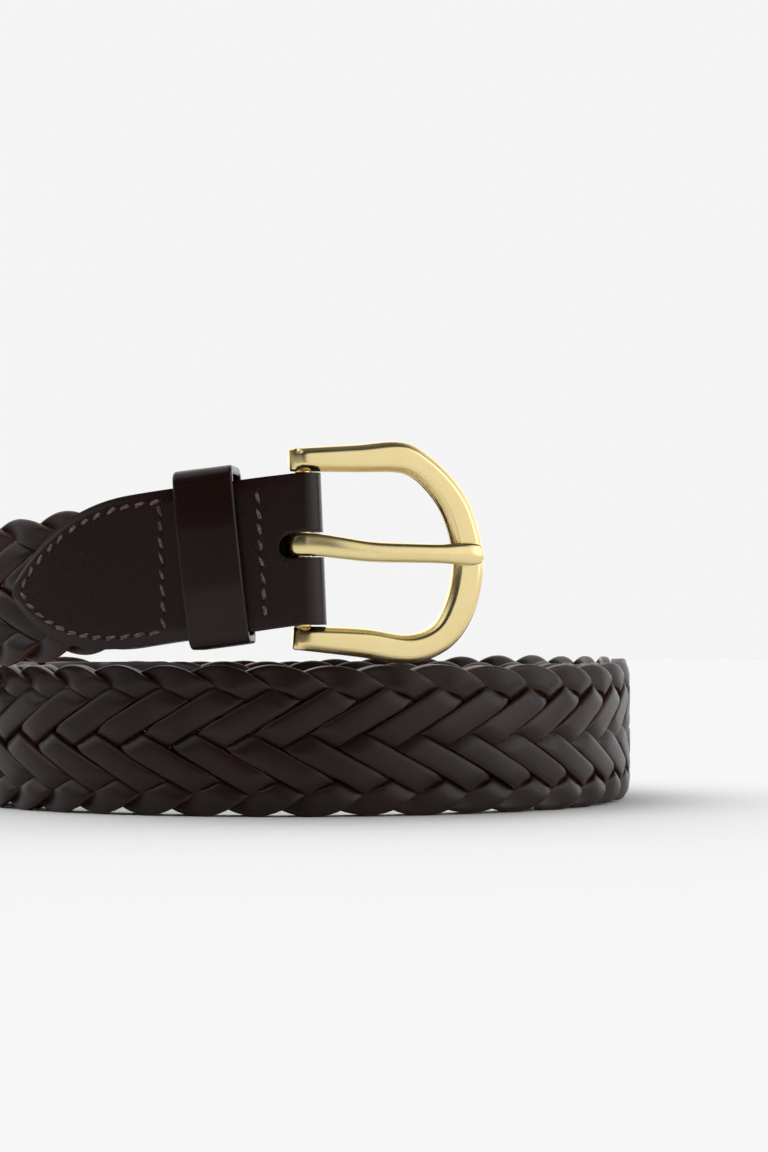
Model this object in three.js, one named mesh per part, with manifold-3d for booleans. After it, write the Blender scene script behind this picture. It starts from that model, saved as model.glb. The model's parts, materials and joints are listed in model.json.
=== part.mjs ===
// A braided leather belt, coiled and standing on its edge, with its buckle end lying on top.
// Millimetres, +Z up. The coil winds round an upright axis and its front, with the buckle, faces -Y.
import * as THREE from "three";
import { mergeVertices } from "three/addons/utils/BufferGeometryUtils.js";
import Module from "manifold-3d";

const wasm = await Module();
wasm.setup();

// Braid
const beltLength = 1130; // from the bar to the end of the tip, along the middle of the strap
const beltWidth = 30;
const braidThickness = 4.5;
const braidChamfer = 1.1; // takes the corners off the braid's section
const turnPitch = 11.2; // between two strands' turns along an edge
const turnDepth = 1.7; // how far the edge dips between two turns
const sectionsPerTurn = 4;

// Leather ends
const leather = 1.8;
const seat = 0.3; // between two pieces that touch
const tabLength = 61; // from the bar to the point of the tongue
const tabWidth = beltWidth; // the leather ends are as wide as the braid
const tongueLength = 28; // the rounded point in which a leather end finishes
const tongueBlunt = 0.4; // the point is cut square this far in
const tongueSlope = 2.2; // these two powers give the point its outline
const tongueFull = 0.8;
const braidSetback = 10; // from the bar to the end of the braid inside the tab
const slotHeight = 5;
const slotReach = 4.7; // from the bar to the slot's closed end
const tipLength = 75;
const tipOverlap = 25; // how much of the tip's leather lies over the braid
const tipClosing = 10; // beyond the braid, over this length, the tip's two sides come together

// Keeper loop
const keeperWidth = 11.3;
const keeperPlace = 17.3; // from the bar to the middle of the keeper
const keeperPlay = 0.5; // above and below the strap
const keeperLean = 0.1; // the loose keeper leans this much back along the strap, for each unit up
const keeperRound = 2.4; // outer corner
const keeperInnerRound = 0.6;

// Buckle
const barDiameter = 3.5;
const frameReach = 34; // from the bar to the middle of the far side
const frameEnd = 4.6; // width of the frame's arm beside the bar
const frameWide = 6.4; // width of the bow at its widest
const frameThickness = 4;
const frameChamfer = 1.2;
const frameTurn = THREE.MathUtils.degToRad(12); // the frame follows the coil round
const prongReach = 36.6; // from the bar to the prong's tip
const prongHeight = 3.9;
const prongLeaf = 1.6; // thickness of the prong where it curls round the bar
const prongDrop = 0.8; // the prong's tip lies this far below the middle of the frame, its root as far above
const curlOpening = THREE.MathUtils.degToRad(110); // the part of the bar that the prong's curl leaves bare

// Coil
const ringRadius = 72.75; // to the middle of the braid, on the front of the outer turn
const turnGap = 0.75; // between two turns that lie side by side
const turnStep = braidThickness + turnGap;
const layerMiddle = braidThickness / 2 + seat + leather / 2;
const foldMiddle = barDiameter / 2 + seat + leather / 2;
const braidEnd = beltLength - tipLength + tipOverlap - seat;
const tipEase = 2 * layerMiddle - braidThickness; // the thicker tip lies this much further in

// The belt's way round the coil, from inside to the bar. angle is degrees round from the front, growing
// towards the right; layers and bulge carry the strap outwards, by turn steps and by shares of the ring's
// radius; climb is how far it has gone up onto the turn below, and rise how far from there to the bar.
const coilRows = [
  { angle: -630, layers: -3, bulge: 0, climb: 0, rise: 0 },
  { angle: -450, layers: -2.33, bulge: 0, climb: 0, rise: 0 },
  { angle: -360, layers: -2, bulge: 0, climb: 0, rise: 0 },
  { angle: -270, layers: -2, bulge: 0, climb: 0, rise: 0 },
  { angle: -180, layers: -1.67, bulge: 0, climb: 0, rise: 0 },
  { angle: -90, layers: -1.33, bulge: 0, climb: 0, rise: 0 },
  { angle: 0, layers: -1, bulge: 0, climb: 0, rise: 0 },
  { angle: 90, layers: -1, bulge: 0, climb: 0, rise: 0 },
  { angle: 180, layers: -0.67, bulge: 0, climb: 0, rise: 0 },
  { angle: 270, layers: -0.33, bulge: 0, climb: 0, rise: 0 },
  { angle: 360, layers: 0, bulge: 0, climb: 0, rise: 0 },
  { angle: 420, layers: 0, bulge: 0, climb: 0, rise: 0 },
  { angle: 450, layers: 0, bulge: 0, climb: 0.035, rise: 0 },
  { angle: 490, layers: 0.15, bulge: 0, climb: 0.05, rise: 0 },
  { angle: 525, layers: 0.28, bulge: 0, climb: 0.027, rise: 0 },
  { angle: 545, layers: 0.36, bulge: 0, climb: 0, rise: 0 },
  { angle: 578, layers: 0.65, bulge: 0, climb: 0, rise: 0 },
  { angle: 605, layers: 1, bulge: 0.124, climb: 0.2, rise: 0 },
  { angle: 630, layers: 1, bulge: 0.234, climb: 0.53, rise: 0 },
  { angle: 650, layers: 1, bulge: 0.137, climb: 0.85, rise: 0 },
  { angle: 668, layers: 1.05, bulge: 0.015, climb: 0.96, rise: 0 },
  { angle: 678, layers: 0.87, bulge: 0, climb: 0.985, rise: 0 },
  { angle: 690, layers: 0.55, bulge: 0, climb: 1, rise: 0.24 },
  { angle: 703, layers: 0.35, bulge: 0, climb: 1, rise: 0.56 },
  { angle: 712, layers: 0.27, bulge: 0, climb: 1, rise: 0.745 },
  { angle: 718, layers: 0.25, bulge: 0, climb: 1, rise: 0.885 },
  { angle: 723.2, layers: 0.24, bulge: 0, climb: 1, rise: 1 },
];

// The bow's middle line from the upper arm round to the lower one: reach is a share of frameReach, up a
// share of the arm's height beside the bar, and wide a share of frameWide.
const bowRows = [
  { reach: -0.08, up: 1, wide: 0.72 },
  { reach: 0.32, up: 1.03, wide: 0.86 },
  { reach: 0.59, up: 1.05, wide: 0.97 },
  { reach: 0.71, up: 0.95, wide: 0.88 },
  { reach: 0.84, up: 0.72, wide: 0.9 },
  { reach: 0.93, up: 0.455, wide: 0.95 },
  { reach: 0.99, up: 0.08, wide: 0.98 },
  { reach: 1, up: -0.23, wide: 1 },
  { reach: 0.955, up: -0.625, wide: 1 },
  { reach: 0.87, up: -0.915, wide: 0.94 },
  { reach: 0.76, up: -1.065, wide: 0.91 },
  { reach: 0.62, up: -1.125, wide: 0.9 },
  { reach: 0.375, up: -1.06, wide: 0.9 },
  { reach: 0.125, up: -1.02, wide: 0.81 },
  { reach: -0.054, up: -1, wide: 0.72 },
];

// The prong from its tip back to the bar: reach is a share of prongReach, drop a share of prongDrop, high
// a share of prongHeight, and thick a multiple of prongLeaf.
const prongRows = [
  { reach: 1, drop: 1, high: 0.62, thick: 0.7 },
  { reach: 0.985, drop: 1, high: 0.95, thick: 1.05 },
  { reach: 0.94, drop: 1, high: 1.1, thick: 1.25 },
  { reach: 0.83, drop: 1, high: 1.02, thick: 1.5 },
  { reach: 0.6, drop: 0.9, high: 1, thick: 1.6 },
  { reach: 0.35, drop: 0.6, high: 1, thick: 1.55 },
  { reach: 0.18, drop: -0.3, high: 1, thick: 1.35 },
  { reach: 0.07, drop: -0.9, high: 1, thick: 1.1 },
  { reach: 0, drop: -1, high: 1, thick: 1 },
];

// A closed three.js geometry as a solid that can be joined and cut, and back.
function solidOf(geometry) {
  const bare = geometry.clone();
  bare.deleteAttribute("normal");
  bare.deleteAttribute("uv");
  const merged = mergeVertices(bare, 1e-4);
  const vertProperties = merged.attributes.position.array;
  const triVerts = new Uint32Array(merged.index.array);
  return new wasm.Manifold(new wasm.Mesh({ numProp: 3, vertProperties, triVerts }));
}

function geometryOf(solid) {
  const { vertProperties, triVerts } = solid.getMesh();
  const geometry = new THREE.BufferGeometry();
  geometry.setAttribute("position", new THREE.BufferAttribute(vertProperties, 3));
  geometry.setIndex(new THREE.BufferAttribute(triVerts, 1));
  geometry.computeVertexNormals();
  return geometry;
}

// A section carried along rows of places: place gives a corner of the section its point on a row.
function sweep(outline, rows, place) {
  const last = rows.length - 1;
  const section = new THREE.Shape(outline);
  const geometry = new THREE.ExtrudeGeometry(section, { depth: last, steps: last, bevelEnabled: false });
  const corners = geometry.attributes.position;
  for (let i = 0; i < corners.count; i++) {
    const row = rows[Math.round(corners.getZ(i))];
    const point = place(row, corners.getX(i), corners.getY(i));
    corners.setXYZ(i, point.x, point.y, point.z);
  }
  return geometry;
}

// An upright rectangle with its corners cut off.
function chamferedOutline(halfAcross, halfUp, cut) {
  return [
    new THREE.Vector2(halfAcross - cut, -halfUp),
    new THREE.Vector2(halfAcross, cut - halfUp),
    new THREE.Vector2(halfAcross, halfUp - cut),
    new THREE.Vector2(halfAcross - cut, halfUp),
    new THREE.Vector2(cut - halfAcross, halfUp),
    new THREE.Vector2(-halfAcross, halfUp - cut),
    new THREE.Vector2(-halfAcross, cut - halfUp),
    new THREE.Vector2(cut - halfAcross, -halfUp),
  ];
}

const unitSquare = chamferedOutline(1, 1, 0).filter((corner, i) => i % 2 === 0);

// The bow of the frame, in the buckle's own axes: the bar is the upright axis and -Y the front.
const armUp = tabWidth / 2 + seat + frameEnd / 2;
const bowSteps = 44;
const bowPoints = bowRows.map((row) => new THREE.Vector3(row.reach * frameReach, 0, row.up * armUp));
const bowLine = new THREE.CatmullRomCurve3(bowPoints);

function bowWidthAt(share) {
  const place = bowLine.getUtoTmapping(share) * (bowRows.length - 1);
  const before = Math.min(Math.floor(place), bowRows.length - 2);
  const wide = THREE.MathUtils.lerp(bowRows[before].wide, bowRows[before + 1].wide, place - before);
  return Math.max(wide * frameWide, frameEnd);
}

const bowSections = Array.from({ length: bowSteps + 1 }, (unused, i) => {
  const share = i / bowSteps;
  const along = bowLine.getTangentAt(share);
  return {
    middle: bowLine.getPointAt(share),
    outward: new THREE.Vector3(-along.z, 0, along.x),
    half: bowWidthAt(share) / 2,
  };
});
const frameLow = Math.max(...bowSections.map((row) => -row.middle.z - row.outward.z * row.half));

// The frame's lowest point sits on the turn below, which sets the height of the bar.
const crossingHeight = beltWidth + seat; // how far the strap climbs to lie on the turn below
const barHeight = crossingHeight + frameLow;
const barRise = barHeight - beltWidth / 2 - crossingHeight;

const coilSpline = new THREE.CubicInterpolant(
  coilRows.map((row) => row.angle),
  coilRows.flatMap((row) => [row.layers, row.bulge, row.climb, row.rise]),
  4,
);

// The middle line of the strap, from the bar back to the inside of the coil.
class BeltLine extends THREE.Curve {
  getPoint(share, point = new THREE.Vector3()) {
    const angle = THREE.MathUtils.lerp(coilRows.at(-1).angle, coilRows[0].angle, share);
    const [layers, bulge, climb, rise] = coilSpline.evaluate(angle);
    const radius = ringRadius * (1 + bulge) + layers * turnStep;
    const lift = Math.max(0, climb) * crossingHeight + Math.max(0, rise) * barRise;
    const round = THREE.MathUtils.degToRad(angle);
    return point.set(radius * Math.sin(round), -radius * Math.cos(round), beltWidth / 2 + lift);
  }
}

const beltLine = new BeltLine();
beltLine.arcLengthDivisions = 4000; // fine enough to place a section to a hundredth
const lineLength = beltLine.getLength();

// Where the strap is at a distance back from the bar, with its own directions: ahead along the ground, up
// and out of the coil. The strap stays upright while it climbs.
function strapAt(back) {
  const share = back / lineLength;
  const up = new THREE.Vector3(0, 0, 1);
  const ahead = beltLine.getTangentAt(share).negate().setZ(0).normalize();
  const out = new THREE.Vector3().crossVectors(ahead, up);
  const tipStart = braidEnd - tipOverlap;
  const easing = THREE.MathUtils.smoothstep(back, tipStart - tipOverlap - tipLength, tipStart);
  const middle = beltLine.getPointAt(share).addScaledVector(out, -tipEase * easing);
  return { back, middle, ahead, up, out };
}

function onStrap(spot, out, up) {
  return spot.middle.clone().addScaledVector(spot.out, out).addScaledVector(spot.up, up);
}

// The braid is one band. Its edges swell where the strands turn back and dip between the turns.
function makeBraid() {
  const rows = [];
  const count = Math.round(((braidEnd - braidSetback) / turnPitch) * sectionsPerTurn);
  for (let i = 0; i <= count; i++) {
    const spot = strapAt(THREE.MathUtils.lerp(braidSetback, braidEnd, i / count));
    const dipsBelow = i % sectionsPerTurn === 0;
    const dipsAbove = i % sectionsPerTurn === sectionsPerTurn / 2;
    rows.push({ ...spot, lowCut: dipsBelow ? turnDepth : 0, highCut: dipsAbove ? turnDepth : 0 });
  }
  const outline = chamferedOutline(braidThickness / 2, beltWidth / 2, braidChamfer);
  return sweep(outline, rows, (row, across, up) => {
    const height = up > 0 ? up - row.highCut : up + row.lowCut;
    return onStrap(row, across, height);
  });
}

// Half the width of a leather end, at a distance from its rounded point.
function tongueHalf(fromPoint) {
  const left = 1 - Math.min(fromPoint / tongueLength, 1);
  return (tabWidth / 2) * Math.pow(1 - Math.pow(left, tongueSlope), tongueFull);
}

// Distances from the point of a tongue: close together where it rounds, then wide apart up to the length.
function tongueSteps(length) {
  const roundSteps = 12;
  const crowding = 1.6; // above 1 it draws the steps towards the point
  const straightStep = 4;
  const steps = [];
  for (let i = 0; i <= roundSteps; i++) {
    const share = Math.pow(i / roundSteps, crowding);
    steps.push(THREE.MathUtils.lerp(tongueBlunt, tongueLength, share));
  }
  const straightCount = Math.ceil((length - tongueLength) / straightStep);
  for (let i = 1; i <= straightCount; i++) {
    steps.push(tongueLength + ((length - tongueLength) * i) / straightCount);
  }
  return steps;
}

// How far out the middle of the tab's leather lies: round the bar at first, then over the braid.
function tabLayerOut(back) {
  const ontoBraid = THREE.MathUtils.smoothstep(back, 0, braidSetback - seat);
  return THREE.MathUtils.lerp(foldMiddle, layerMiddle, ontoBraid);
}

// The buckle tab is one strip of leather, folded round the bar and closed over the braid's end on both
// sides.
function makeBuckleTab() {
  const foldSteps = 10;
  const layer = tongueSteps(tabLength).map((fromPoint) => ({
    spot: strapAt(Math.max(tabLength - fromPoint, 0)),
    half: tongueHalf(fromPoint),
  }));
  const atBar = strapAt(0);
  const rows = [];
  for (const { spot, half } of layer) {
    const middle = onStrap(spot, -tabLayerOut(spot.back), 0);
    rows.push({ middle, across: spot.out.clone().negate(), up: spot.up, half });
  }
  for (let i = 1; i < foldSteps; i++) {
    const turned = (Math.PI * i) / foldSteps;
    const across = atBar.out.clone().multiplyScalar(-Math.cos(turned));
    across.addScaledVector(atBar.ahead, Math.sin(turned));
    const middle = atBar.middle.clone().addScaledVector(across, foldMiddle);
    rows.push({ middle, across, up: atBar.up, half: tabWidth / 2 });
  }
  for (const { spot, half } of layer.reverse()) {
    const middle = onStrap(spot, tabLayerOut(spot.back), 0);
    rows.push({ middle, across: spot.out, up: spot.up, half });
  }
  const strip = sweep(unitSquare, rows, (row, across, up) => {
    const point = row.middle.clone().addScaledVector(row.across, (across * leather) / 2);
    return point.addScaledVector(row.up, up * row.half);
  });
  return geometryOf(solidOf(strip).subtract(solidOf(slotGeometry(atBar))));
}

// The slot lets the prong through the fold. Its closed end is round.
function slotGeometry(atBar) {
  const throughFold = 3 * foldMiddle;
  const radius = slotHeight / 2;
  const outline = new THREE.Shape();
  outline.absarc(radius - slotReach, 0, radius, Math.PI / 2, (3 * Math.PI) / 2);
  outline.lineTo(throughFold, -radius);
  outline.lineTo(throughFold, radius);
  const depth = 4 * foldMiddle;
  const geometry = new THREE.ExtrudeGeometry(outline, { depth, bevelEnabled: false, curveSegments: 10 });
  geometry.translate(0, prongDrop, -depth / 2);
  const axes = new THREE.Matrix4().makeBasis(atBar.ahead, atBar.up, atBar.out);
  return geometry.applyMatrix4(axes.setPosition(atBar.middle));
}

// The tip is a leather end whose two sides lie over the braid and meet beyond it.
function makeTip() {
  const rows = tongueSteps(tipLength).map((fromPoint) => {
    const fromEdge = tipLength - fromPoint;
    const closed = THREE.MathUtils.smoothstep(fromEdge, tipOverlap, tipOverlap + tipClosing);
    return {
      ...strapAt(beltLength - fromPoint),
      halfUp: tongueHalf(fromPoint),
      halfOut: THREE.MathUtils.lerp(layerMiddle + leather / 2, leather, closed),
    };
  });
  rows.reverse();
  const shell = sweep(unitSquare, rows, (row, across, up) => {
    return onStrap(row, across * row.halfOut, up * row.halfUp);
  });
  const pocketSteps = 8;
  const pocketStart = beltLength - tipLength - seat;
  const pocketRows = Array.from({ length: pocketSteps + 1 }, (unused, i) => {
    return strapAt(THREE.MathUtils.lerp(pocketStart, braidEnd + seat, i / pocketSteps));
  });
  const pocket = sweep(unitSquare, pocketRows, (row, across, up) => {
    return onStrap(row, across * (layerMiddle - leather / 2), up * beltWidth);
  });
  return geometryOf(solidOf(shell).subtract(solidOf(pocket)));
}

// The keeper is a band of leather round the tab, open at both ends.
function makeKeeper() {
  const innerOut = layerMiddle + leather / 2 + seat;
  const innerUp = tabWidth / 2 + keeperPlay;
  const loop = roundedRectangle(new THREE.Shape(), innerOut + leather, innerUp + leather, keeperRound);
  loop.holes.push(roundedRectangle(new THREE.Path(), innerOut, innerUp, keeperInnerRound));
  const steps = 3;
  const options = { depth: steps, steps, bevelEnabled: false, curveSegments: 4 };
  const geometry = new THREE.ExtrudeGeometry(loop, options);
  const corners = geometry.attributes.position;
  for (let i = 0; i < corners.count; i++) {
    const along = corners.getZ(i) / steps - 0.5;
    const up = corners.getY(i);
    const spot = strapAt(keeperPlace + along * keeperWidth + up * keeperLean);
    const point = onStrap(spot, corners.getX(i), up);
    corners.setXYZ(i, point.x, point.y, point.z);
  }
  return geometry;
}

function roundedRectangle(path, halfAcross, halfUp, radius) {
  const quarter = Math.PI / 2;
  path.absarc(halfAcross - radius, halfUp - radius, radius, 0, quarter);
  path.absarc(radius - halfAcross, halfUp - radius, radius, quarter, 2 * quarter);
  path.absarc(radius - halfAcross, radius - halfUp, radius, 2 * quarter, 3 * quarter);
  path.absarc(halfAcross - radius, radius - halfUp, radius, 3 * quarter, 4 * quarter);
  path.closePath();
  return path;
}

// The frame is cast in one with its bar: a bevelled bow, and the round bar between its two arms.
function makeFrame() {
  const outline = chamferedOutline(frameWide / 2, frameThickness / 2, frameChamfer);
  const bow = sweep(outline, bowSections, (row, side, front) => {
    const across = side - Math.sign(side) * (frameWide / 2 - row.half);
    return row.middle.clone().addScaledVector(row.outward, across).setY(-front);
  });
  const bar = new THREE.CylinderGeometry(barDiameter / 2, barDiameter / 2, 2 * armUp, 20);
  bar.rotateX(Math.PI / 2);
  return geometryOf(solidOf(bow).add(solidOf(bar)));
}

// The prong lies on the front of the bow and curls round the bar.
function makeProng() {
  const curlMiddle = barDiameter / 2 + seat + prongLeaf / 2;
  const curlSteps = 16;
  const tipOut = frameThickness / 2 + seat;
  const rows = prongRows.map((row) => {
    const thick = row.thick * prongLeaf;
    const backFace = THREE.MathUtils.lerp(curlMiddle - prongLeaf / 2, tipOut, row.reach);
    return {
      middle: new THREE.Vector3(row.reach * prongReach, -backFace - thick / 2, -row.drop * prongDrop),
      outward: new THREE.Vector3(0, -1, 0),
      halfUp: (row.high * prongHeight) / 2,
      halfOut: thick / 2,
    };
  });
  for (let i = 1; i <= curlSteps; i++) {
    const turned = ((2 * Math.PI - curlOpening) * i) / curlSteps;
    const outward = new THREE.Vector3(-Math.sin(turned), -Math.cos(turned), 0);
    const middle = outward.clone().multiplyScalar(curlMiddle).setZ(prongDrop);
    rows.push({ middle, outward, halfUp: prongHeight / 2, halfOut: prongLeaf / 2 });
  }
  const cornerShare = 0.4; // the part of each half side that its cut corners take
  const outline = chamferedOutline(1, 1, cornerShare);
  return sweep(outline, rows, (row, out, up) => {
    const point = row.middle.clone().addScaledVector(row.outward, out * row.halfOut);
    return point.setZ(point.z + up * row.halfUp);
  });
}

const darkLeather = new THREE.MeshStandardMaterial({ color: 0x2e2222, roughness: 0.5 });
const braidLeather = new THREE.MeshStandardMaterial({ color: 0x342727, roughness: 0.45 });
const satinBrass = new THREE.MeshStandardMaterial({ color: 0xc8aa60, roughness: 0.3, metalness: 1 });

function piece(name, geometry, material) {
  const mesh = new THREE.Mesh(geometry, material);
  mesh.name = name;
  return mesh;
}

const atBar = strapAt(0);
const buckle = new THREE.Group();
buckle.position.copy(atBar.middle);
buckle.rotation.z = Math.atan2(atBar.ahead.y, atBar.ahead.x) + frameTurn;
buckle.add(piece("buckle_frame", makeFrame(), satinBrass));
buckle.add(piece("prong", makeProng(), satinBrass));

const belt = new THREE.Group();
belt.add(piece("braid_band", makeBraid(), braidLeather));
belt.add(piece("buckle_tab", makeBuckleTab(), darkLeather));
belt.add(piece("keeper_loop", makeKeeper(), darkLeather));
belt.add(piece("leather_tip", makeTip(), darkLeather));
belt.add(buckle);

// The belt stands on the ground with its box centred over the origin.
belt.updateMatrixWorld(true);
const box = new THREE.Box3().setFromObject(belt, true);
const centre = box.getCenter(new THREE.Vector3());
belt.position.set(-centre.x, -centre.y, -box.min.z);

export default belt;
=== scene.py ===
# A braided leather belt with a brass buckle, coiled and standing on its edge. Metres, +Z up.
import json
import math
import random

import bmesh
import bpy
import numpy
from mathutils import Matrix, Vector


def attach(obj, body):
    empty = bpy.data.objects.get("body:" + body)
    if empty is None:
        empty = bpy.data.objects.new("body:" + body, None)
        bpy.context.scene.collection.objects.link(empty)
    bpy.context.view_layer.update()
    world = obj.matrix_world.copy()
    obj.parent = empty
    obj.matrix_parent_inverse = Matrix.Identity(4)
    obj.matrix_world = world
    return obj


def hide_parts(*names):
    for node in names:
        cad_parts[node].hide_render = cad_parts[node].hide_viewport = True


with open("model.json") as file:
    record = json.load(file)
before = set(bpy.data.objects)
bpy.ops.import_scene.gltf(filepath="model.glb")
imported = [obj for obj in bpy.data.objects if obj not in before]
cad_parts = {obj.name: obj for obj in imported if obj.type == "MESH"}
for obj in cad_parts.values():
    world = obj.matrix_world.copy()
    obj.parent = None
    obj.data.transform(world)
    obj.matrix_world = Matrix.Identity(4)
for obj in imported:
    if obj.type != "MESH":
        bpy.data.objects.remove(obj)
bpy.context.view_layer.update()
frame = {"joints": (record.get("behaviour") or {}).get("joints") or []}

# Camera. It looks along +Y from just above the ground, level with the belt, and a little upwards.
# The belt's left side is outside the picture, as in the photograph.
camera_data = bpy.data.cameras.new("camera")
camera_data.lens = 88.75
camera_data.sensor_width = 36
camera = bpy.data.objects.new("camera", camera_data)
camera.location = (0.0313, -0.6332, 0.034)
camera.rotation_euler = (math.radians(91.39), 0, 0)
bpy.context.scene.collection.objects.link(camera)
bpy.context.scene.camera = camera


# Floor and light. The floor is plain white paper. A soft box stands to the right, another hangs high on
# the left, the wall behind is white, and the side that the camera stands on is dark.
class Value:
    """A number that varies over a surface. Sums and products of values add their Math nodes."""

    def __init__(self, nodes, socket):
        self.nodes = nodes
        self.socket = socket

    def math(self, operation, first, second=0.0):
        return self.nodes.node("ShaderNodeMath", {"operation": operation}, {0: first, 1: second})

    def __add__(self, other):
        return self.math("ADD", self, other)

    def __sub__(self, other):
        return self.math("SUBTRACT", self, other)

    def __mul__(self, other):
        return self.math("MULTIPLY", self, other)

    def __rsub__(self, other):
        return self.math("SUBTRACT", other, self)

    def __abs__(self):
        return self.math("ABSOLUTE", self)

    __radd__ = __add__
    __rmul__ = __mul__


class Nodes:
    """The nodes of one material or of the world."""

    def __init__(self, tree):
        self.tree = tree

    def node(self, kind, settings, sockets, output=0):
        """Adds a node: its settings first, then the values or links of its sockets."""
        new = self.tree.nodes.new(kind)
        for name, setting in settings.items():
            if name == "stops":
                for i, (place, colour) in enumerate(setting):
                    stops = new.color_ramp.elements
                    stop = stops[i] if i < 2 else stops.new(place)
                    stop.position = place
                    stop.color = colour
            else:
                setattr(new, name, setting)
        self.fill(new, sockets)
        return Value(self, new.outputs[output])

    def fill(self, node, sockets):
        for name, value in sockets.items():
            if isinstance(value, Value):
                self.tree.links.new(value.socket, node.inputs[name])
            else:
                node.inputs[name].default_value = value

    def noise(self, place, scale, detail=2.0, roughness=0.5):
        sockets = {"Vector": place, "Scale": scale, "Detail": detail, "Roughness": roughness}
        return self.node("ShaderNodeTexNoise", {}, sockets)

    def ramp(self, value, low, high):
        """0 below low and 1 above high, with a soft change between them."""
        settings = {"interpolation_type": "SMOOTHSTEP"}
        return self.node("ShaderNodeMapRange", settings, {0: value, 1: low, 2: high})

    def mix(self, share, first, second):
        return self.node("ShaderNodeMix", {"data_type": "RGBA"}, {0: share, 6: first, 7: second}, 2)


bpy.context.scene.view_settings.view_transform = "Standard"

world = bpy.data.worlds.new("studio")
world.use_nodes = True
bpy.context.scene.world = world
sky = Nodes(world.node_tree)
direction = sky.node("ShaderNodeTexCoord", {}, {})


def soft_box(right, up, full, fading):
    """How much of a soft box is seen in a direction. Its middle is given in degrees to the right of the
    camera's side and up, and then how far round the middle its full and its fading light reach."""
    turned = math.radians(right)
    raised = math.radians(up)
    level = math.cos(raised)
    middle = (math.sin(turned) * level, -math.cos(turned) * level, math.sin(raised))
    towards = sky.node("ShaderNodeVectorMath", {"operation": "DOT_PRODUCT"}, {0: direction, 1: middle}, 1)
    return sky.ramp(towards, math.cos(math.radians(fading)), math.cos(math.radians(full)))


dark_side = 0.05
right_box = 1.05 * soft_box(62, 10, 33, 44) + 1.0 * soft_box(76, 12, 12, 34)
left_box = 1.5 * soft_box(-95, 50, 24, 46)
white_wall = 1.45 * sky.ramp(sky.node("ShaderNodeSeparateXYZ", {}, {0: direction}, 1), 0.12, 0.6)
studio_light = dark_side + right_box + left_box + white_wall
seen_by_camera = sky.node("ShaderNodeLightPath", {}, {})
paper_white = 0.905
brightness = seen_by_camera * paper_white + (1.0 - seen_by_camera) * studio_light
sky.fill(world.node_tree.nodes["Background"], {"Strength": brightness, "Color": (1, 1, 1, 1)})

floor_half = 6
floor_mesh = bpy.data.meshes.new("floor")
floor_shape = bmesh.new()
bmesh.ops.create_grid(floor_shape, x_segments=1, y_segments=1, size=floor_half)
floor_shape.to_mesh(floor_mesh)
floor_shape.free()
floor = bpy.data.objects.new("floor", floor_mesh)
bpy.context.scene.collection.objects.link(floor)
floor_white = 0.93
floor_finish = bpy.data.materials.new("floor_paper")
floor_finish.use_nodes = True
floor_nodes = Nodes(floor_finish.node_tree)
floor_nodes.fill(
    floor_finish.node_tree.nodes["Principled BSDF"],
    {"Base Color": (floor_white, floor_white, floor_white, 1), "Roughness": 1, "Specular IOR Level": 0},
)
floor_mesh.materials.append(floor_finish)


# Braid. Nine flat laces of dark waxed leather are plaited into one band. Each lace runs from edge to edge,
# over three others and then under three, and the whole strap follows the coil from the bar inwards.
belt_length = 1.130
belt_width = 0.030
braid_thickness = 0.0045
leather = 0.0018
seat = 0.0003  # the gap between pieces that touch
braid_setback = 0.010
tip_length = 0.075
tip_overlap = 0.025
layer_middle = braid_thickness / 2 + seat + leather / 2
tip_ease = 2 * layer_middle - braid_thickness
braid_end = belt_length - tip_length + tip_overlap - seat
ring_radius = 0.07275
turn_step = 0.00525
crossing_height = belt_width + seat

# The strap's way round the coil: degrees round from the front, layers and bulge outwards, climb and rise.
coil_rows = numpy.array([
    (-630, -3, 0, 0, 0),
    (-450, -2.33, 0, 0, 0),
    (-360, -2, 0, 0, 0),
    (-270, -2, 0, 0, 0),
    (-180, -1.67, 0, 0, 0),
    (-90, -1.33, 0, 0, 0),
    (0, -1, 0, 0, 0),
    (90, -1, 0, 0, 0),
    (180, -0.67, 0, 0, 0),
    (270, -0.33, 0, 0, 0),
    (360, 0, 0, 0, 0),
    (420, 0, 0, 0, 0),
    (450, 0, 0, 0.035, 0),
    (490, 0.15, 0, 0.05, 0),
    (525, 0.28, 0, 0.027, 0),
    (545, 0.36, 0, 0, 0),
    (578, 0.65, 0, 0, 0),
    (605, 1, 0.124, 0.2, 0),
    (630, 1, 0.234, 0.53, 0),
    (650, 1, 0.137, 0.85, 0),
    (668, 1.05, 0.015, 0.96, 0),
    (678, 0.87, 0, 0.985, 0),
    (690, 0.55, 0, 1, 0.24),
    (703, 0.35, 0, 1, 0.56),
    (712, 0.27, 0, 1, 0.745),
    (718, 0.25, 0, 1, 0.885),
    (723.2, 0.24, 0, 1, 1),
])
bar_place = numpy.array(frame["joints"][0]["pos_m"])


def smoothstep(value, low, high):
    share = numpy.clip((numpy.asarray(value) - low) / (high - low), 0, 1)
    return share * share * (3 - 2 * share)


def through(places, rows, at):
    """The smooth curve through the rows, which lie at these places, read at other places."""
    secants = numpy.diff(rows, axis=0) / numpy.diff(places)[:, None]
    slopes = numpy.vstack((secants[:1], (secants[:-1] + secants[1:]) / 2, secants[-1:]))
    after = numpy.clip(numpy.searchsorted(places, at), 1, len(places) - 1)
    before = after - 1
    step = (places[after] - places[before])[:, None]
    share = (at[:, None] - places[before][:, None]) / step
    bend = share * share * (3 - 2 * share)
    leave = share * (1 - share) ** 2
    arrive = share**2 * (share - 1)
    straight = rows[before] + (rows[after] - rows[before]) * bend
    return straight + step * (slopes[before] * leave + slopes[after] * arrive)


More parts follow.
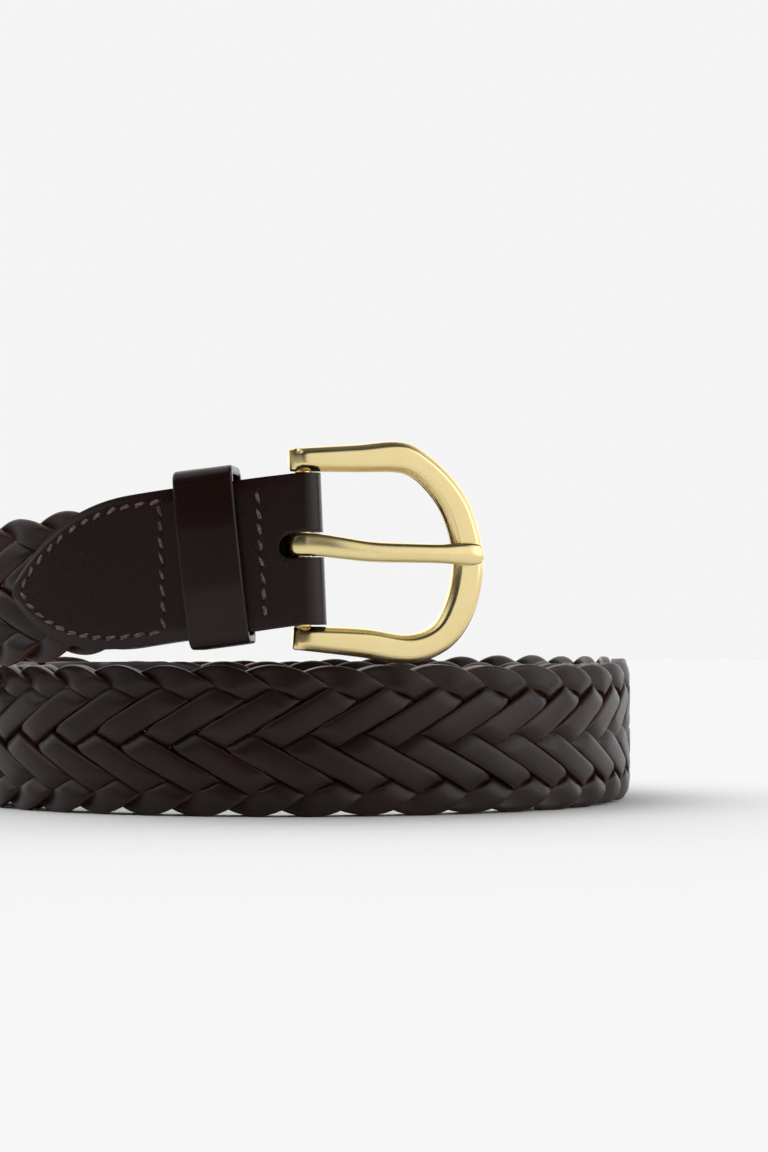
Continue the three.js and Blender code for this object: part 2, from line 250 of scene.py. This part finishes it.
# Points of the strap's middle line, from the bar back to the inside of the coil, and how far back each is.
line_angles = numpy.linspace(coil_rows[-1, 0], coil_rows[0, 0], 6001)
line_layers, line_bulge, line_climb, line_rise = through(coil_rows[:, 0], coil_rows[:, 1:], line_angles).T
line_radius = ring_radius * (1 + line_bulge) + line_layers * turn_step
line_round = numpy.radians(line_angles)
bar_rise = bar_place[2] - belt_width / 2 - crossing_height
line_height = belt_width / 2 + numpy.maximum(line_climb, 0) * crossing_height
line_height += numpy.maximum(line_rise, 0) * bar_rise
line_x = line_radius * numpy.sin(line_round)
line_y = -line_radius * numpy.cos(line_round)
line_points = numpy.column_stack((line_x, line_y, line_height))
line_points[:, :2] += bar_place[:2] - line_points[0, :2]
line_steps = numpy.linalg.norm(numpy.diff(line_points, axis=0), axis=1)
line_back = numpy.concatenate(([0], numpy.cumsum(line_steps)))
line_ahead = -numpy.gradient(line_points, line_back, axis=0)


def strap_at(back):
    """The strap's middle and its directions, level ahead, up and outwards, at distances back from the bar."""
    back = numpy.asarray(back, dtype=float)
    middle = numpy.column_stack([numpy.interp(back, line_back, line_points[:, i]) for i in range(3)])
    ahead = numpy.column_stack([numpy.interp(back, line_back, line_ahead[:, i]) for i in range(3)])
    ahead[:, 2] = 0
    ahead /= numpy.linalg.norm(ahead, axis=1)[:, None]
    up = numpy.tile((0.0, 0.0, 1.0), (len(back), 1))
    out = numpy.cross(ahead, up)
    tip_start = braid_end - tip_overlap
    easing = smoothstep(back, tip_start - tip_overlap - tip_length, tip_start)
    return middle - out * (tip_ease * easing)[:, None], ahead, up, out


def on_strap(back, out, up):
    """Points at distances back from the bar, out of the coil and up from the strap's middle line."""
    middle, ahead, upwards, outwards = strap_at(back)
    return middle + outwards * numpy.asarray(out)[:, None] + upwards * numpy.asarray(up)[:, None]


def flat_grid(length_steps, width_steps, length, width):
    """A flat grid, from 0 to length along X and centred across Y, with that as its UV map in metres."""
    shape = bmesh.new()
    bmesh.ops.create_grid(shape, x_segments=length_steps, y_segments=width_steps, size=0.5)
    bmesh.ops.translate(shape, verts=shape.verts, vec=(0.5, 0, 0))
    bmesh.ops.scale(shape, verts=shape.verts, vec=(length, width, 1))
    flat = shape.loops.layers.uv.new("flat")
    for face in shape.faces:
        for loop in face.loops:
            loop[flat].uv = loop.vert.co.xy
    return shape


def bend_grid(shape, place):
    """Moves every vertex of a flat grid to its place, given by arrays of its X and Y."""
    flat = numpy.array([vertex.co[:2] for vertex in shape.verts])
    for vertex, point in zip(shape.verts, place(flat[:, 0], flat[:, 1])):
        vertex.co = point


def finished_piece(name, shape, finishes, body):
    mesh = bpy.data.meshes.new(name)
    for face in shape.faces:
        face.smooth = True
    shape.to_mesh(mesh)
    shape.free()
    for finish in finishes:
        mesh.materials.append(finish)
    piece = bpy.data.objects.new(name, mesh)
    bpy.context.scene.collection.objects.link(piece)
    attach(piece, body)
    return piece


def give_thickness(piece, thickness, edge_round, segments, offset=0.0, rim=1):
    """A sheet gets its thickness, with a rim of the next material, and rounded edges."""
    solidify = piece.modifiers.new("thickness", "SOLIDIFY")
    solidify.thickness = thickness
    solidify.offset = offset
    solidify.use_even_offset = True
    solidify.material_offset_rim = rim
    bevel = piece.modifiers.new("edges", "BEVEL")
    bevel.width = edge_round
    bevel.segments = segments
    bevel.limit_method = "ANGLE"
    bevel.angle_limit = math.radians(50)


def leather_finish(name, colour, warm, rough, grain_size, grain_depth, edge_from=None):
    """Smooth waxed leather: cloudy colour, fine pores, long rubbed patches and, from a distance across the
    piece's flat map, edges that are worn down to the warmer hide."""
    material = bpy.data.materials.new(name)
    material.use_nodes = True
    nodes = Nodes(material.node_tree)
    surface = material.node_tree.nodes["Principled BSDF"]
    place = nodes.node("ShaderNodeTexCoord", {}, {}, 3)
    clouds = nodes.noise(place, 90, 4, 0.55)
    patches = nodes.noise(place, 22, 2, 0.5)
    base = nodes.mix(nodes.ramp(clouds, 0.3, 0.75) * 0.55, colour, warm)
    if edge_from is not None:
        flat = nodes.node("ShaderNodeTexCoord", {}, {}, 2)
        across = abs(nodes.node("ShaderNodeSeparateXYZ", {}, {0: flat}, 1))
        ragged = across + (nodes.noise(place, 700, 3, 0.6) - 0.5) * 0.0005
        worn = nodes.ramp(ragged, edge_from, edge_from + 0.0004) * nodes.ramp(patches, 0.42, 0.68)
        hide = tuple(3 * part for part in warm[:3]) + (1,)
        base = nodes.mix(worn * 0.8, base, hide)
    pores = nodes.node("ShaderNodeTexVoronoi", {}, {"Vector": place, "Scale": 1 / grain_size})
    creases = nodes.noise(place, 0.6 / grain_size, 5, 0.65)
    relief = nodes.ramp(pores, 0.0, 0.45) * 0.4 + creases
    bump = nodes.node("ShaderNodeBump", {}, {"Height": relief, "Distance": grain_depth, "Strength": 0.6})
    shine = rough - 0.10 * nodes.ramp(patches, 0.4, 0.75) + 0.16 * (creases - 0.5)
    nodes.fill(surface, {"Base Color": base, "Roughness": shine, "Normal": bump, "Specular IOR Level": 0.24})
    return material


lace_count = 9
lace_width = 0.0051
lace_thickness = 0.0020
lace_level = 0.00115  # how far a lace lies above or below the band's middle
lace_crown = 0.00016
lace_round = 0.00042
lace_wander = 0.00010  # how far a lace wanders from its line
lace_roll = 0.00010
lace_swell = 0.03  # how much its width varies, as a share
turn_pitch = 0.0112
row_step = turn_pitch / 2  # along the belt, between two crossings of one lace
half_cycle = lace_count * row_step
lattice_half = 0.01395  # where the laces would turn if they turned sharply
slant = 2 * lattice_half / half_cycle
first_turn = 0.0062
braid_skew = 0.06  # the plait is pulled this much askew: its upper edge lies further back
tuck = 0.10  # a lace dives this much sooner under the next one, as a share of a row step
dive = 0.40

lace_leather = leather_finish(
    "lace_leather", (0.0155, 0.0078, 0.0064, 1), (0.028, 0.013, 0.0095, 1), 0.38, 0.00042, 0.00005, 0.0022
)
lace_edge = leather_finish(
    "lace_edge", (0.022, 0.009, 0.006, 1), (0.16, 0.062, 0.03, 1), 0.5, 0.0003, 0.00006
)


def lace_height(rows):
    """1 where a lace is over the others and -1 where it is under them, by the rows that it has crossed."""
    over = smoothstep(rows, 1.5 + tuck - dive, 1.5 + tuck + dive)
    over = over - smoothstep(rows, 4.5 - tuck - dive, 4.5 - tuck + dive)
    over = over + smoothstep(rows, 7.5 + tuck - dive, 7.5 + tuck + dive)
    height = 2 * over - 1
    height = numpy.where(rows < 1, -numpy.sin(rows * math.pi / 2), height)
    return numpy.where(rows > lace_count - 1, numpy.cos((rows - lace_count + 1) * math.pi / 2), height)


def lace_place(number, phases, back, across):
    """Where a point of a lace lies, given how far back it is and how far across the lace."""
    cycle = numpy.mod(back - first_turn - number * turn_pitch, 2 * half_cycle)
    rising = numpy.where(cycle < half_cycle, -1.0, 1.0)
    since_turn = numpy.mod(cycle, half_cycle)
    to_turn = half_cycle - since_turn
    near = numpy.minimum(since_turn, to_turn)
    rounded = numpy.where(near < row_step, row_step / 2 + near**2 / (2 * row_step), near)
    from_top = numpy.where(since_turn < to_turn, 1.0, -1.0)
    up = -rising * from_top * (lattice_half - slant * rounded)
    steep = rising * slant * numpy.minimum(near / row_step, 1)
    wander = lace_wander * (numpy.sin(back * 95 + phases[0]) + 0.7 * numpy.sin(back * 260 + phases[1]))
    across_now = across * (1 + lace_swell * numpy.sin(back * 140 + phases[2]))
    stretch = numpy.sqrt(1 + steep**2)
    lean = rising * (1 / slant - slant) / (math.sqrt(1 + slant**2) * turn_pitch)
    rows = since_turn / row_step + across * lean * smoothstep(near, 0, row_step)
    height = lace_height(numpy.clip(rows, 0, lace_count))
    crown = lace_crown * height * (2 * across / lace_width) ** 2
    roll = lace_roll * numpy.sin(back * 120 + phases[3]) * (2 * across / lace_width)
    out = lace_level * height - crown + roll
    up_now = up + wander + across_now / stretch
    return on_strap(back - across_now * steep / stretch + up_now * braid_skew, out, up_now)


chance = random.Random(7)
lace_steps = 980
for number in range(lace_count):
    phases = [chance.uniform(0, 2 * math.pi) for i in range(4)]
    lace = flat_grid(lace_steps, 4, braid_end - braid_setback, lace_width)
    bend_grid(lace, lambda along, across: lace_place(number, phases, braid_setback + along, across))
    lace_piece = finished_piece(
        f"braid_lace_{number + 1}", lace, (lace_leather, lace_edge), "strap"
    )
    give_thickness(lace_piece, lace_thickness, lace_round, 2)
    if number == 0:
        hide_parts("braid_band")


# Buckle tab. One strip of smooth dark leather is folded round the bar and sewn over the braid's end, with
# a rounded tongue on both sides. A slot at the fold lets the prong through.
tab_length = 0.061
tongue_length = 0.028
tongue_blunt = 0.0004
tongue_slope = 2.2
tongue_full = 0.8
bar_radius = 0.00175
fold_middle = bar_radius + seat + leather / 2
fold_length = math.pi * fold_middle
fold_slack = 0.0003  # the fold is this much longer than it is round, in its middle
fold_lean = 0.04  # and it is looser below than above
strip_length = 2 * tab_length + fold_length
slot_half = 0.0025
slot_front = 0.0047  # how far back the slot reaches in the front layer
slot_back = 0.0026  # and in the layer behind it
slot_up = 0.0008
pared_border = 0.0022  # the border that is pared thinner towards the edge
pared_depth = 0.00035
pared_end = 0.03  # the paring fades out over this length before the fold

tab_leather = leather_finish(
    "tab_leather", (0.011, 0.0036, 0.0028, 1), (0.018, 0.006, 0.0045, 1), 0.31, 0.00035, 0.00003
)
tab_edge = leather_finish(
    "tab_edge", (0.012, 0.006, 0.005, 1), (0.022, 0.011, 0.009, 1), 0.36, 0.0003, 0.00003
)


def tongue_half(from_point):
    left = 1 - numpy.minimum(from_point / tongue_length, 1)
    return belt_width / 2 * (1 - left**tongue_slope) ** tongue_full


def strip_place(along, across, lift=0.0):
    """Where a point of the folded strip lies: its length runs from the back tongue round to the front."""
    behind = along < tab_length
    before = along > tab_length + fold_length
    back = numpy.where(behind, tab_length - along, numpy.where(before, along - tab_length - fold_length, 0))
    onto_braid = smoothstep(back, 0, braid_setback - seat)
    layer = fold_middle + (layer_middle - fold_middle) * onto_braid + lift
    turned = math.pi * numpy.clip((along - tab_length) / fold_length, 0, 1)
    middle, ahead, up, out = strap_at(back)
    slack = fold_slack - fold_lean * across
    around = -numpy.cos(turned)[:, None] * out * layer[:, None]
    forward = numpy.sin(turned)[:, None] * ahead * (layer + slack)[:, None]
    return middle + around + forward + up * across[:, None]


def tab_place(along, across):
    from_point = tongue_blunt + numpy.minimum(along, strip_length - along)
    half = tongue_half(from_point)
    share = across / (belt_width / 2)
    to_edge = numpy.minimum(half * (1 - numpy.abs(share)), from_point * 0.8)
    towards_edge = 1 - smoothstep(to_edge, 0, pared_border)
    pared = pared_depth * towards_edge * smoothstep(tab_length - from_point, 0, pared_end)
    return strip_place(along, share * half, -pared)


def cut_slot(shape):
    """Takes the slot's faces out of the flat strip and moves the cells' corners onto its outline."""
    centre = Vector((strip_length / 2 + (slot_front - slot_back) / 2, slot_up))
    straight = fold_length / 2 + (slot_front + slot_back) / 2 - slot_half

    def from_slot(point):
        away = point - centre
        end = Vector((min(max(away.x, -straight), straight), 0))
        return end, away - end

    inside = [face for face in shape.faces if from_slot(face.calc_center_median().xy)[1].length < slot_half]
    bmesh.ops.delete(shape, geom=inside, context="FACES")
    for vertex in shape.verts:
        end, away = from_slot(vertex.co.xy)
        if away.length < 2 * slot_half and vertex.is_boundary:
            vertex.co.xy = centre + end + away.normalized() * slot_half


tab = flat_grid(250, 52, strip_length, belt_width)
cut_slot(tab)
bend_grid(tab, tab_place)
tab_piece = finished_piece("sewn_tab", tab, (tab_leather, tab_edge), "strap")
give_thickness(tab_piece, leather, 0.0004, 3)
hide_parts("buckle_tab")


# Keeper loop. A band of the same leather goes round the tab, closed at the back, and can slide a little.
# It leans back a little at its top and bulges out between its rounded corners.
keeper_width = 0.0113
keeper_place = 0.0173
keeper_lean = 0.1
keeper_bulge = 0.0009  # how far its front bulges out, from top to bottom
keeper_swell = 0.00012  # and from side to side
keeper_tall = 1.03
keeper_up = 0.0005
keeper_round = 0.0024
keeper_half_out = layer_middle + leather / 2 + seat + leather / 2
keeper_half_up = belt_width / 2 + 0.0005 + leather / 2
keeper_bend = keeper_round - leather / 2


def loop_point(share):
    """A point of the rounded rectangle that the keeper follows, by its share of the way round."""
    side_out = 2 * (keeper_half_out - keeper_bend)
    side_up = 2 * (keeper_half_up - keeper_bend)
    corner = math.pi / 2 * keeper_bend
    run = share * (2 * (side_out + side_up) + 4 * corner)
    out = keeper_half_out
    up = -side_up / 2
    for i, side in enumerate((side_up, side_out, side_up, side_out)):
        heading = math.pi / 2 * (i + 1)
        if run <= side:
            return out + math.cos(heading) * run, up + math.sin(heading) * run
        out += math.cos(heading) * side
        up += math.sin(heading) * side
        run -= side
        centre_out = out - math.sin(heading) * keeper_bend
        centre_up = up + math.cos(heading) * keeper_bend
        turned = min(run / keeper_bend, math.pi / 2)
        out = centre_out + keeper_bend * math.sin(heading + turned)
        up = centre_up - keeper_bend * math.cos(heading + turned)
        if run <= corner:
            return out, up
        run -= corner
    return out, up


def keeper_point(along, across):
    outs, ups = numpy.array([loop_point(share) for share in along]).T
    bulge = keeper_bulge * (1 - smoothstep(numpy.abs(ups), 0.005, keeper_half_up)) * (outs > 0)
    swell = keeper_swell * (1 - (2 * across / keeper_width) ** 2)
    bulge += swell * (numpy.abs(ups) < keeper_half_up - keeper_bend)
    raised = ups * keeper_tall + keeper_up
    return on_strap(keeper_place + across + raised * keeper_lean, outs + bulge * numpy.sign(outs), raised)


keeper = flat_grid(220, 14, 1, keeper_width)
bend_grid(keeper, keeper_point)
bmesh.ops.remove_doubles(keeper, verts=keeper.verts, dist=0.00001)
bmesh.ops.recalc_face_normals(keeper, faces=keeper.faces)
keeper_piece = finished_piece("keeper_band", keeper, (tab_leather, tab_edge), "strap")
give_thickness(keeper_piece, leather, 0.0005, 3)
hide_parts("keeper_loop")


# Leather tip. Two sides of the same leather close over the other end of the braid and meet beyond it in a
# rounded point. The coil hides it from the front.
tip_closing = 0.010


def tip_side(side, name):
    def place(along, across):
        from_point = tongue_blunt + (tip_length - tongue_blunt) * (1 - along / tip_length)
        half = tongue_half(from_point)
        closed = smoothstep(tip_length - from_point, tip_overlap, tip_overlap + tip_closing)
        layer = layer_middle + (leather / 2 - layer_middle) * closed
        return on_strap(belt_length - from_point, side * layer, across / (belt_width / 2) * half)

    tip = flat_grid(140, 30, tip_length, belt_width)
    bend_grid(tip, place)
    if side < 0:
        bmesh.ops.reverse_faces(tip, faces=tip.faces)
    piece = finished_piece(name, tip, (tab_leather, tab_edge), "strap")
    give_thickness(piece, leather, 0.0004, 3)
    return piece


tip_outer = tip_side(1, "tip_outer_side")
tip_inner = tip_side(-1, "tip_inner_side")
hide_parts("leather_tip")


# Stitches. Waxed brown thread of two plies, in saddle stitches that dip into awl holes at both ends; each
# hole is a flat dark disc of painted shade laid on the leather. They run round the tongues and across the tab
# on both sides of the keeper.
stitch_step = 0.0030
stitch_length = 0.0023
stitch_thick = 0.00042
ply_apart = 0.00032
hole_width = 0.00075
stitch_inset = 0.0023
stitch_slant = 0.26  # how much a stitch turns out of its seam
stitch_spread = 0.14
first_row = 0.0272  # the rows across the tab, by their distance from the bar
second_row = 0.0080
first_lean = 0.037  # and how much they lean back, for each unit up
second_lean = 0.0625
steepest = 6  # the outline's slope, up to which the seam keeps its distance from it
seam_ease = 0.92

thread_finish = bpy.data.materials.new("waxed_thread")
thread_finish.use_nodes = True
thread_nodes = Nodes(thread_finish.node_tree)
thread_place = thread_nodes.node("ShaderNodeTexCoord", {}, {}, 3)
thread_fibre = thread_nodes.noise(thread_place, 2600, 3, 0.6)
thread_light = thread_nodes.ramp(thread_fibre, 0.35, 0.7)
thread_colour = thread_nodes.mix(thread_light, (0.035, 0.014, 0.010, 1), (0.26, 0.14, 0.11, 1))
thread_bump = thread_nodes.node(
    "ShaderNodeBump", {}, {"Height": thread_fibre, "Distance": 0.0001, "Strength": 0.8}
)
thread_nodes.fill(
    thread_finish.node_tree.nodes["Principled BSDF"],
    {"Base Color": thread_colour, "Roughness": 0.4, "Normal": thread_bump},
)
# Painted shade: the near-black finish of the awl-hole discs stands for the shade inside the holes.
hole_painted_shade = leather_finish(
    "awl_hole_painted_shade", (0.002, 0.001, 0.001, 1), (0.006, 0.003, 0.002, 1), 0.7, 0.0003, 0.00002
)


def even_points(path, step):
    """Points at even steps along a path of (length, across) points."""
    path = numpy.array(path)
    runs = numpy.concatenate(([0], numpy.cumsum(numpy.linalg.norm(numpy.diff(path, axis=0), axis=1))))
    count = max(2, round(runs[-1] / step) + 1)
    at = numpy.linspace(0, runs[-1], count)
    return numpy.column_stack([numpy.interp(at, runs, path[:, i]) for i in range(2)])


def tongue_path(row_from_point):
    """The seam round a tongue: (distance from its point, across), from one edge to the other."""
    shares = numpy.linspace(0, 1, 60)
    from_point = stitch_inset + (row_from_point - stitch_inset) * shares**2
    half = tongue_half(from_point)
    narrowing = numpy.gradient(half, from_point)
    inner = half - stitch_inset * numpy.sqrt(1 + numpy.minimum(narrowing, steepest) ** 2) * seam_ease
    inner = numpy.maximum(inner, 0)
    upper = list(zip(from_point, inner))
    return upper[::-1] + [(a, -b) for a, b in upper[1:]]


def add_bead(shape, middle, axes, size, material):
    """A small ball, drawn out along its first axis."""
    lying = Matrix.Diagonal((*size, 1)) @ Matrix.Rotation(math.pi / 2, 4, "Y")
    matrix = Matrix.Translation(middle) @ axes @ lying
    made = bmesh.ops.create_uvsphere(shape, u_segments=8, v_segments=8, radius=1, matrix=matrix)
    for face in {face for vertex in made["verts"] for face in vertex.link_faces}:
        face.material_index = material


def sew(shape, points, place):
    """Adds a stitch between each two points, and at each point a flat dark disc of painted shade for the awl
    hole.
    place gives a point and the direction out of the leather."""
    for start, end in zip(points[:-1], points[1:]):
        first, outward = place(*start)
        last, outward = place(*end)
        along = (last - first).normalized()
        for ply in (-1, 1):
            lean = stitch_slant + chance.uniform(-stitch_spread, stitch_spread)
            side = outward.cross(along).normalized()
            heading = (along + side * lean).normalized()
            axes = Matrix((heading, outward.cross(heading), outward)).transposed().to_4x4()
            shift = side * ply * ply_apart / 2 + along * chance.uniform(-0.0002, 0.0002)
            reach = stitch_length * chance.uniform(0.8, 1.05) / 2
            size = (reach, stitch_thick / 2 * chance.uniform(0.8, 1.15), stitch_thick * 0.45)
            add_bead(shape, (first + last) / 2 + shift + outward * 0.00005, axes, size, 0)
        axes = Matrix((along, outward.cross(along), outward)).transposed().to_4x4()
        # Painted shade: a flat dark disc on the surface stands for the shaded awl hole.
        add_bead(shape, first, axes, (hole_width * 0.6, hole_width / 2, 0.0001), 1)


def tab_surface(front):
    """Gives the function that finds points on the outside of the tab's front or back layer."""

    def place(from_point, across):
        along = strip_length - from_point if front else from_point
        at = strip_place(numpy.array([along, along]), numpy.array([across, across]), numpy.array([0, 0.001]))
        outward = Vector(at[1] - at[0]).normalized()
        return Vector(at[0]) + outward * leather / 2, outward

    return place


stitches = bmesh.new()
for front in (True, False):
    surface_at = tab_surface(front)
    seam_end = tab_length - first_row
    row_half = belt_width / 2 - stitch_inset
    sew(stitches, even_points(tongue_path(seam_end), stitch_step), surface_at)
    for row, lean in ((seam_end, first_lean), (tab_length - second_row, second_lean)):
        ends = [(row - row_half * lean, row_half), (row + row_half * lean, -row_half)]
        sew(stitches, even_points(ends, stitch_step), surface_at)
stitch_piece = finished_piece("tab_stitches", stitches, (thread_finish, hole_painted_shade), "strap")


# Buckle frame. Cast brass with a satin lacquered face: a bow with bevelled sides that narrows towards two
# square ends, and a round bar between them that the tab hides.
frame_reach = 0.034
frame_end = 0.0046
frame_wide = 0.0064
frame_thickness = 0.004
frame_chamfer = 0.0012
end_cut = 0.0021  # how far the front is cut back at an arm's end
end_slope = 0.95
arm_up = belt_width / 2 + seat + frame_end / 2
frame_turn = math.radians(12)

# The bow's line, from the upper arm's end round to the lower one's: how far out, as a share of the reach, how
# far up, as a share of the arms' height, and how wide, as a share of the full width.
bow_rows = numpy.array([
    (-0.08, 1, 0.72),
    (0.32, 1.03, 0.86),
    (0.59, 1.05, 0.97),
    (0.71, 0.95, 0.88),
    (0.84, 0.72, 0.9),
    (0.93, 0.455, 0.95),
    (0.99, 0.08, 0.98),
    (1, -0.23, 1),
    (0.955, -0.625, 1),
    (0.87, -0.915, 0.94),
    (0.76, -1.065, 0.91),
    (0.62, -1.125, 0.9),
    (0.375, -1.06, 0.9),
    (0.125, -1.02, 0.81),
    (-0.054, -1, 0.72),
])
bar_heading = strap_at([0.0])[1][0]
buckle_axes = Matrix.Rotation(math.atan2(bar_heading[1], bar_heading[0]) + frame_turn, 4, "Z")
buckle_place = Matrix.Translation(bar_place) @ buckle_axes

brass = bpy.data.materials.new("satin_brass")
brass.use_nodes = True
brass_nodes = Nodes(brass.node_tree)
brass_at = brass_nodes.node("ShaderNodeTexCoord", {}, {}, 3)
brass_clouds = brass_nodes.noise(brass_at, 120, 3, 0.5)
brass_scratches = brass_nodes.noise(brass_at, 1500, 4, 0.7)
brass_colour = brass_nodes.mix(brass_clouds, (0.76, 0.60, 0.27, 1), (0.87, 0.73, 0.40, 1))
brass_bump = brass_nodes.node(
    "ShaderNodeBump", {}, {"Height": brass_scratches, "Distance": 0.00001, "Strength": 0.25}
)
brass_nodes.fill(
    brass.node_tree.nodes["Principled BSDF"],
    {
        "Base Color": brass_colour,
        "Metallic": 1.0,
        "Roughness": 0.16 + brass_clouds * 0.12,
        "Normal": brass_bump,
    },
)

bow_steps = 90
bar_length = belt_width + 2 * seat + 0.0002
bow_points = bow_rows[:, :2] * (frame_reach, arm_up)

# The bow's rows lie apart by the square roots of their distances, which keeps the curve from overshooting.
bow_places = numpy.concatenate(
    ([0], numpy.cumsum(numpy.linalg.norm(numpy.diff(bow_points, axis=0), axis=1) ** 0.5))
)
fine_places = numpy.linspace(0, bow_places[-1], 1201)
fine_line = through(bow_places, numpy.column_stack((bow_points, bow_rows[:, 2])), fine_places)
fine_runs = numpy.linalg.norm(numpy.diff(fine_line[:, :2], axis=0), axis=1)
fine_along = numpy.concatenate(([0], numpy.cumsum(fine_runs)))
bow_length = fine_along[-1]
bow_heading = numpy.gradient(fine_line[:, :2], fine_along, axis=0)

# The corners of the bow's section: the side and the front that each lies at, and how its chamfer moves it.
section = numpy.array([
    (1, -1, -1, 0), (1, -1, 0, 1), (1, 1, 0, -1), (1, 1, -1, 0),
    (-1, 1, 1, 0), (-1, 1, 0, -1), (-1, -1, 0, 1), (-1, -1, 1, 0),
])


def bow_place(along, around):
    """A corner of the bow's eight-sided section, at a distance along the bow."""
    corner = section[numpy.round(around * 8).astype(int) % 8]
    x, z, wide = (numpy.interp(along, fine_along, fine_line[:, i]) for i in range(3))
    heading_x, heading_z = (numpy.interp(along, fine_along, bow_heading[:, i]) for i in range(2))
    half = numpy.maximum(wide * frame_wide, frame_end) / 2
    side = corner[:, 0] * half + corner[:, 2] * frame_chamfer
    front = corner[:, 1] * frame_thickness / 2 + corner[:, 3] * frame_chamfer
    from_end = numpy.minimum(along, bow_length - along)
    front = numpy.minimum(front, frame_thickness / 2 - end_cut + from_end * end_slope)
    scale = numpy.hypot(heading_x, heading_z)
    return numpy.column_stack((x - side * heading_z / scale, -front, z + side * heading_x / scale))


def metal_edges(piece, width, segments):
    bevel = piece.modifiers.new("edges", "BEVEL")
    bevel.width = width
    bevel.segments = segments
    bevel.limit_method = "ANGLE"
    bevel.angle_limit = math.radians(24)
    normals = piece.modifiers.new("flat_faces", "WEIGHTED_NORMAL")
    normals.keep_sharp = True


bow = bmesh.new()
bmesh.ops.create_grid(bow, x_segments=bow_steps, y_segments=8, size=0.5)
bmesh.ops.translate(bow, verts=bow.verts, vec=(0.5, 0.5, 0))
bmesh.ops.scale(bow, verts=bow.verts, vec=(bow_length, 1, 1))
bend_grid(bow, bow_place)
bmesh.ops.remove_doubles(bow, verts=bow.verts, dist=0.00001)
bmesh.ops.holes_fill(bow, edges=[edge for edge in bow.edges if edge.is_boundary])
bmesh.ops.recalc_face_normals(bow, faces=bow.faces)
bmesh.ops.transform(bow, matrix=buckle_place, verts=bow.verts)
bow_piece = finished_piece("buckle_bow", bow, (brass,), "frame")
metal_edges(bow_piece, 0.00045, 3)
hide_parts("buckle_frame")

bar = bmesh.new()
bmesh.ops.create_cone(
    bar, cap_ends=True, segments=32, radius1=bar_radius, radius2=bar_radius, depth=bar_length,
    matrix=buckle_place,
)
bar_piece = finished_piece("buckle_bar", bar, (brass,), "frame")
metal_edges(bar_piece, 0.0002, 2)


# Prong. A brass tongue with a rounded back that lies on the bow and curls round the bar through the tab's
# slot. It widens a little at its tip.
prong_reach = 0.0366
prong_height = 0.0039
prong_leaf = 0.0016
prong_drop = 0.0008

# The prong from its tip back to the bar: how far out, how far it drops, its height and its thickness, each as
# a share of the sizes above.
prong_rows = numpy.array([
    (1, 1, 0.45, 0.5),
    (0.985, 1, 0.85, 0.95),
    (0.95, 1, 1.12, 1.25),
    (0.86, 1, 1.1, 1.45),
    (0.76, 1, 0.98, 1.55),
    (0.6, 0.9, 0.98, 1.6),
    (0.35, 0.6, 1.04, 1.55),
    (0.18, -0.3, 1.12, 1.4),
    (0.07, -0.9, 1.15, 1.15),
    (0, -1, 1.15, 1),
])
curl_full = 1.15  # the curl's height, as a share of the prong's
curl_middle = bar_radius + seat + prong_leaf / 2
curl_end = math.radians(250)
blade_steps = 60
curl_steps = 30


def prong_section(step):
    """The prong's middle, outward direction, half height and half thickness at a step back from the tip."""
    if step <= blade_steps:
        reach = 1 - step / blade_steps
        order = prong_rows[::-1]
        drop, high, thick = through(order[:, 0], order[:, 1:], numpy.array([reach]))[0]
        half_out = thick * prong_leaf / 2
        back_face = bar_radius + seat + (frame_thickness / 2 - bar_radius) * reach
        middle = Vector((reach * prong_reach, -back_face - half_out, -drop * prong_drop))
        return middle, Vector((0, -1, 0)), high * prong_height / 2, half_out
    turned = curl_end * (step - blade_steps) / curl_steps
    outward = Vector((-math.sin(turned), -math.cos(turned), 0))
    middle = outward * curl_middle + Vector((0, 0, prong_drop))
    return middle, outward, curl_full * prong_height / 2, prong_leaf / 2


def prong_place(steps, around):
    points = []
    for step, turn in zip(steps, around):
        middle, outward, half_up, half_out = prong_section(step)
        angle = 2 * math.pi * turn
        across = math.copysign(abs(math.cos(angle)) ** 0.85, math.cos(angle))
        raised = math.copysign(abs(math.sin(angle)) ** 0.9, math.sin(angle))
        points.append(middle + outward * (raised * half_out) + Vector((0, 0, across * half_up)))
    return points


prong = bmesh.new()
bmesh.ops.create_grid(prong, x_segments=blade_steps + curl_steps, y_segments=24, size=0.5)
bmesh.ops.translate(prong, verts=prong.verts, vec=(0.5, 0.5, 0))
bmesh.ops.scale(prong, verts=prong.verts, vec=(blade_steps + curl_steps, 1, 1))
bend_grid(prong, prong_place)
bmesh.ops.remove_doubles(prong, verts=prong.verts, dist=0.00001)
bmesh.ops.holes_fill(prong, edges=[edge for edge in prong.edges if edge.is_boundary])
bmesh.ops.recalc_face_normals(prong, faces=prong.faces)
bmesh.ops.transform(prong, matrix=buckle_place, verts=prong.verts)
prong_piece = finished_piece("prong_tongue", prong, (brass,), "prong")
metal_edges(prong_piece, 0.0003, 2)
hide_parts("prong")
